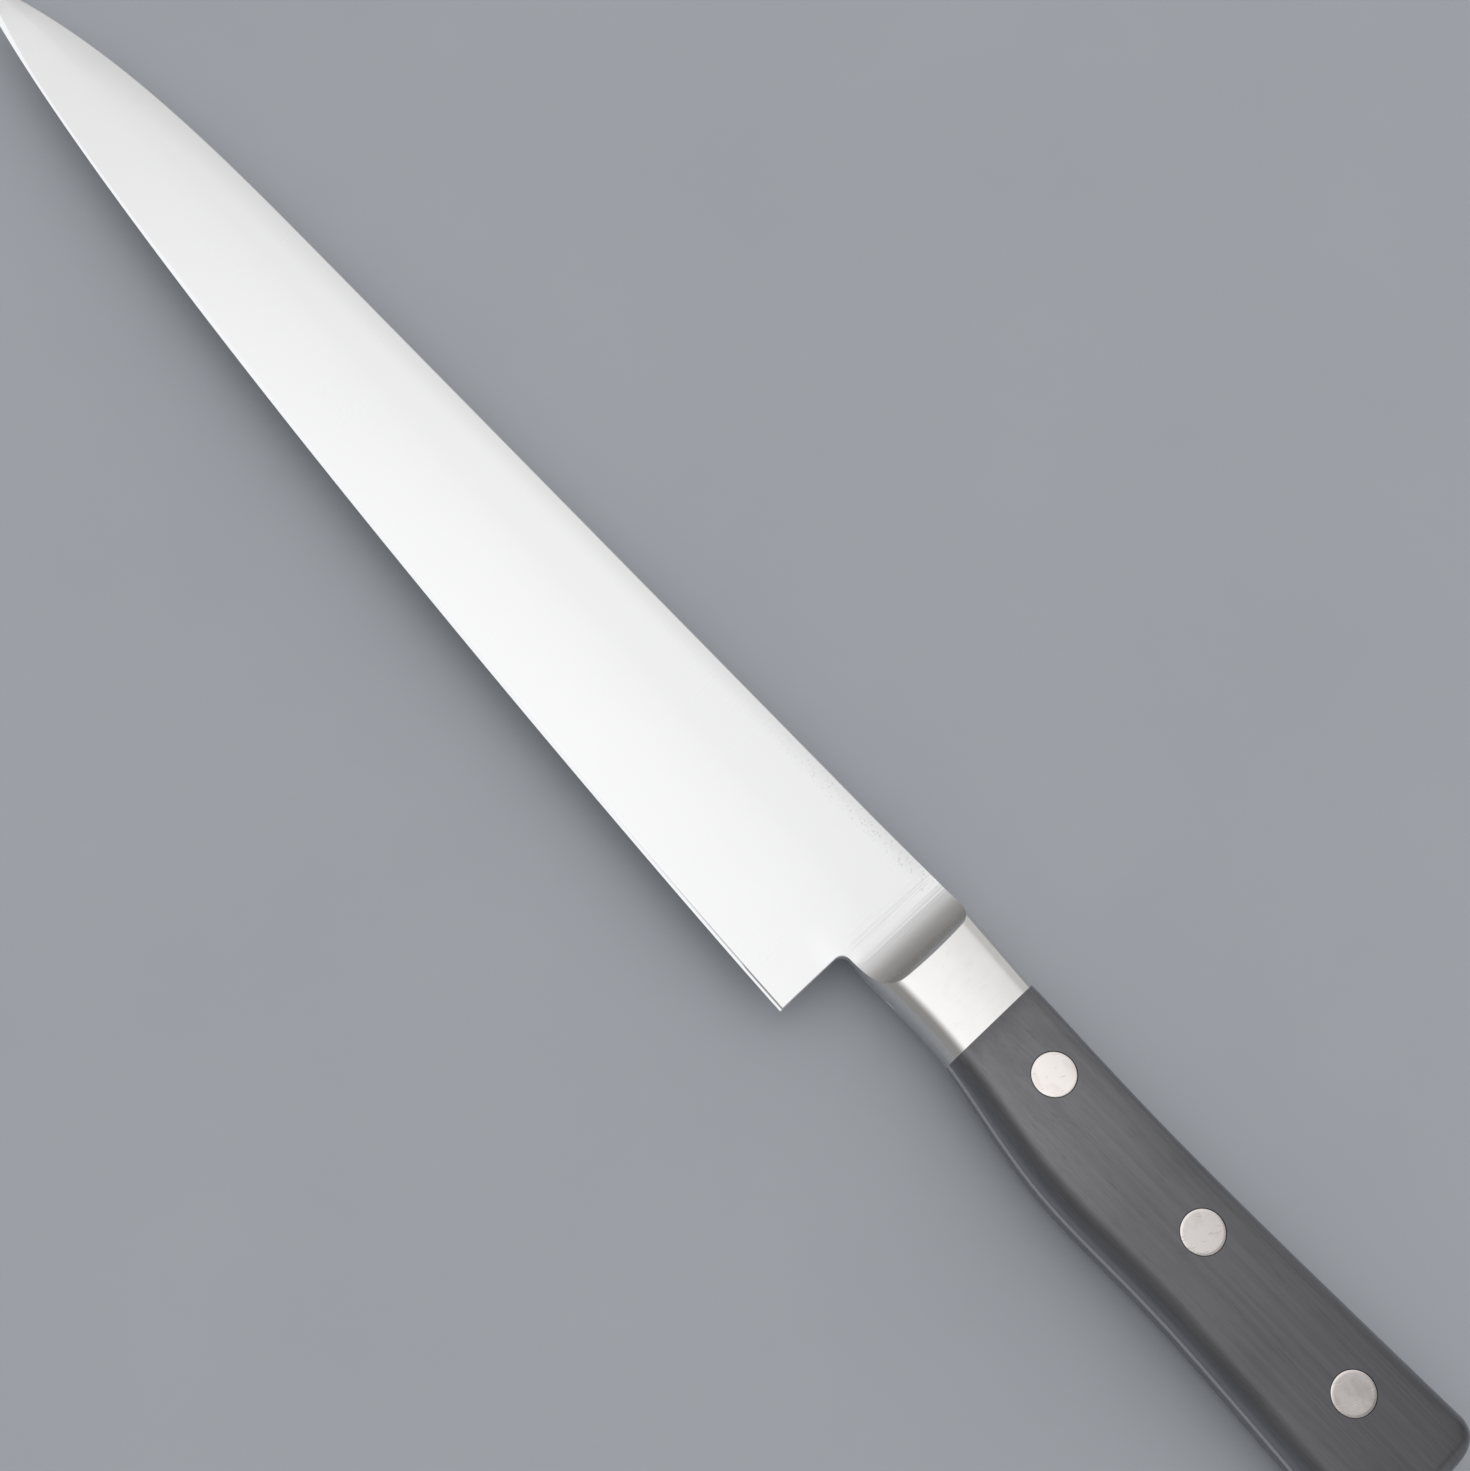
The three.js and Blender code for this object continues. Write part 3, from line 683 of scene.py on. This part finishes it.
start.surface(
    Base_Color=(grain - pores * 0.4).tint(WOOD_DARK, WOOD_LIGHT),
    Metallic=0.0,
    Roughness=0.3 + fibre * 0.1 + worn * 0.06 + pores * 0.12,
    Specular_IOR_Level=1.0,
    Specular_Tint=WOOD_GLOSS,
    Coat_Weight=0.87 + grain * 0.13 - pores * 0.25 - scratches * 0.2 - worn.step(0.5, 0.7) * 0.12,
    Coat_Roughness=0.25,
    Coat_IOR=1.9,
    Normal=start.bump(fibre * 0.25 - pores * 0.5 - scratches * 0.6, 0.25),
)


def make_scale(name, way):
    """One scale with its rivet holes, on the left by 1 and on the right by -1."""
    skin = Skin()
    corner_count, across_count = 16, 30
    straight = np.linspace(BOLSTER_X, BUTT_X - BOTTOM_BUTT_RADIUS, 96)[:-1]
    round_butt = BUTT_X - BOTTOM_BUTT_RADIUS * (1 - np.sin(np.linspace(0, math.pi / 2, 30)))
    rows = []
    for section in [Section(x) for x in (*straight, *round_butt)]:
        low, high = section.corner(-1, corner_count), section.corner(1, corner_count)
        across = np.linspace(low[-1][1], high[-1][1], across_count)[1:-1]
        rows.append([*low, *[(section.x, y, section.face(y)) for y in across], *high[::-1]])
    grid = skin.add(np.array(rows))
    skin.sheet(grid)
    skin.sheet(grid[:, [-1, 0]])
    skin.face(grid[0])
    skin.face(grid[-1])
    made = skin.on_side(way).piece(name, [wood_finish])
    tools = []
    for x in RIVETS.values():
        y, seat = rivet_line(x), side_height(x) - HEAD_DEPTH
        low, high = sorted((way * seat, way * SCALE_CUT))
        tools.append(drill(x, y, SHANK_HOLE, -SCALE_CUT, SCALE_CUT))
        tools.append(drill(x, y, HEAD_RADIUS + HOLE_GAP, low, high))
    cut(made, tools)
    smooth(made, SCALE_CRISP_ANGLE)
    return made


for side, way in SIDES.items():
    scale = make_scale(f"{side}_scale", way)
    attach(scale, "root")
    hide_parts(f"scale_{side}")

# Rivets: cutler's rivets of nickel silver in two halves. A hollow shank on the left takes a pin from the
# right, both are pressed home, and their heads are then ground and polished with the scales.
PIN_RADIUS, PRESS_GAP, END_GAP = 1.5, 0.05, 0.4
HEAD_SINK, RIM_ROUND = 0.01, 0.16
NICKEL_SHADE, NICKEL, SANDING_SLANT = (0.74, 0.685, 0.66), (0.86, 0.81, 0.785), 0.5
rivet_finish, start, place = finish("polished_nickel_silver")
aslant = place.turned(SANDING_SLANT)
sanding = aslant.stretched(2.5, 0.09, 0.09).noise(3.0, 0.6)
smears = place.stretched(4.5, 3.2, 3.2).noise(2.0, 0.5)
dents = aslant.stretched(0.5, 2.6, 2.6).noise(2.0, 0.5).step(0.62, 0.72)
brightness = smears.step(0.3, 0.55) * 0.8 + sanding * 0.2 - dents * 0.5
start.surface(
    Base_Color=brightness.tint(NICKEL_SHADE, NICKEL),
    Metallic=1.0,
    Roughness=0.2 + smears * 0.1 + dents * 0.1,
    Normal=start.bump(sanding * 0.4 - dents, 0.15),
)


def make_rivet(name, x, way, hollow):
    """One half of a rivet: a head on a hollow shank, or on a pin."""
    y, seat = float(rivet_line(x)), float(side_height(x)) - HEAD_DEPTH
    skin = Skin()
    angles = np.linspace(0, 2 * math.pi, 96, endpoint=False)

    def ring(radius, height):
        """A ring about the rivet's axis at a height above mid-steel."""
        points = np.zeros((len(angles), 3))
        points[:, 0] = x + radius * np.cos(angles)
        points[:, 1] = y + radius * np.sin(angles)
        points[:, 2] = height
        return points

    def on_face(radius, below):
        """A ring that follows the head's ground face at a depth below it."""
        points = ring(radius, 0)
        points[:, 2] = [Section(p[0]).face(p[1]) - HEAD_SINK - below for p in points]
        return points

    flat = HEAD_RADIUS - RIM_ROUND
    rings = [on_face(r, 0) for r in np.linspace(0, flat, 9)[1:]]
    for angle in np.linspace(0, math.pi / 2, 6)[1:]:
        rings.append(on_face(flat + RIM_ROUND * math.sin(angle), RIM_ROUND * (1 - math.cos(angle))))
    rings.append(ring(HEAD_RADIUS, seat))
    far_end = -seat + END_GAP
    if hollow:
        bore = PIN_RADIUS + PRESS_GAP
        rings += [ring(SHANK_RADIUS, seat), ring(SHANK_RADIUS, far_end)]
        rings += [ring(bore, far_end), ring(bore, seat)]
    else:
        rings += [ring(PIN_RADIUS, seat), ring(PIN_RADIUS, far_end)]
    grid = skin.add(np.array(rings))
    skin.sheet(np.concatenate([grid, grid[:, :1]], 1))
    crown = skin.add([[(x, y, Section(x).face(y) - HEAD_SINK)]])[0, 0]
    for a, b in zip(grid[0], np.roll(grid[0], -1)):
        skin.face((crown, b, a))
    skin.face(grid[-1])
    return skin.on_side(way).piece(name, [rivet_finish])


for which, x in RIVETS.items():
    for half, way in (("socket", 1), ("pin", -1)):
        rivet = make_rivet(f"{which}_{half}_half", x, way, half == "socket")
        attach(rivet, "root")
        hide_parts(f"{which}_rivet_{half}")

# Floor: a plain pale grey studio floor that the knife lies on, one sheet that runs out of sight on all
# sides, with the faint mottling of a matt coating.
FLOOR_REACH = 20.0
FLOOR_DARK, FLOOR_LIGHT = (0.415, 0.44, 0.48), (0.46, 0.485, 0.525)
floor_finish, start, place = finish("pale_grey_floor")
mottle = place.stretched(60, 60, 60).noise(4.0, 0.6)
start.surface(Base_Color=mottle.tint(FLOOR_DARK, FLOOR_LIGHT), Roughness=0.6, Specular_IOR_Level=0.3)
floor_mesh = bpy.data.meshes.new("floor")
floor_corners = [(x * FLOOR_REACH, y * FLOOR_REACH, 0) for x, y in ((-1, -1), (1, -1), (1, 1), (-1, 1))]
floor_mesh.from_pydata(floor_corners, [], [(0, 1, 2, 3)])
floor_mesh.materials.append(floor_finish)
floor = bpy.data.objects.new("floor", floor_mesh)
bpy.context.scene.collection.objects.link(floor)

# Studio: a broad soft glow overhead that fades towards the tip, the edge's side and the butt, and comes
# back weaker low behind the butt. A wide soft lamp beyond the butt and the spine throws the shadow, and
# the gloss doesn't show it. Directions run from -1 to 1, x to the butt and y to the spine.
GLOW_DARK, GLOW_LIGHT = (0.184, 0.18, 0.175), (1.285, 1.29, 1.295)
LAMP_ENERGY, LAMP_SPREAD, LAMP_DIRECTION = 0.9, 80, (0.9, 0.55, 0.65)
studio = bpy.data.worlds.new("studio")
bpy.context.scene.world = studio
studio.use_nodes = True
studio.node_tree.nodes.clear()
start = Wire(studio.node_tree)
direction = start.node("ShaderNodeTexCoord", {}, {}, "Generated")
x, y = direction.axis(0), direction.axis(1)
tip_fade = (1 - x.step(-0.52, -0.28)) * y.step(-0.2, -0.05) * 0.44
butt_fade = x.step(0.03, 0.17) * 0.94 - x.step(0.35, 0.6) * 0.3
along = x.step(-1.0, -0.65) * (1 - tip_fade) * (1 - butt_fade)
across = (1 - y.step(0.05, 0.7) * 0.55) * y.step(-0.85, -0.2)
low_fill = (0 - y).step(0.4, 0.9) * 0.13
glow = (along * across + low_fill).tint(GLOW_DARK, GLOW_LIGHT)
light = start.node("ShaderNodeBackground", {}, {"Color": glow, "Strength": 1.0})
start.node("ShaderNodeOutputWorld", {}, {"Surface": light})

soft_lamp = bpy.data.lights.new("rear_soft_lamp", "SUN")
soft_lamp.energy, soft_lamp.angle = LAMP_ENERGY, math.radians(LAMP_SPREAD)
lamp = bpy.data.objects.new("rear_soft_lamp", soft_lamp)
lamp.rotation_euler = Vector(LAMP_DIRECTION).to_track_quat("Z", "Y").to_euler()
lamp.visible_glossy = False
bpy.context.scene.collection.objects.link(lamp)

# Camera: over the handle on the edge's side, half a metre up, with the place, the turn and the lens that
# a fit to the photograph's outlines gave.
CAMERA_PLACE, CAMERA_TURN = (0.08657, -0.12863, 0.54089), (15.627, -5.268, 46.186)
CAMERA_SENSOR, CAMERA_LENS = 36, 77.352
camera_data = bpy.data.cameras.new("camera")
camera_data.sensor_width = CAMERA_SENSOR
camera_data.lens = CAMERA_LENS
camera = bpy.data.objects.new("camera", camera_data)
camera.location = CAMERA_PLACE
camera.rotation_euler = [math.radians(angle) for angle in CAMERA_TURN]
bpy.context.scene.collection.objects.link(camera)
bpy.context.scene.camera = camera
bpy.context.scene.view_settings.view_transform = "Standard"

bpy.context.view_layer.update()
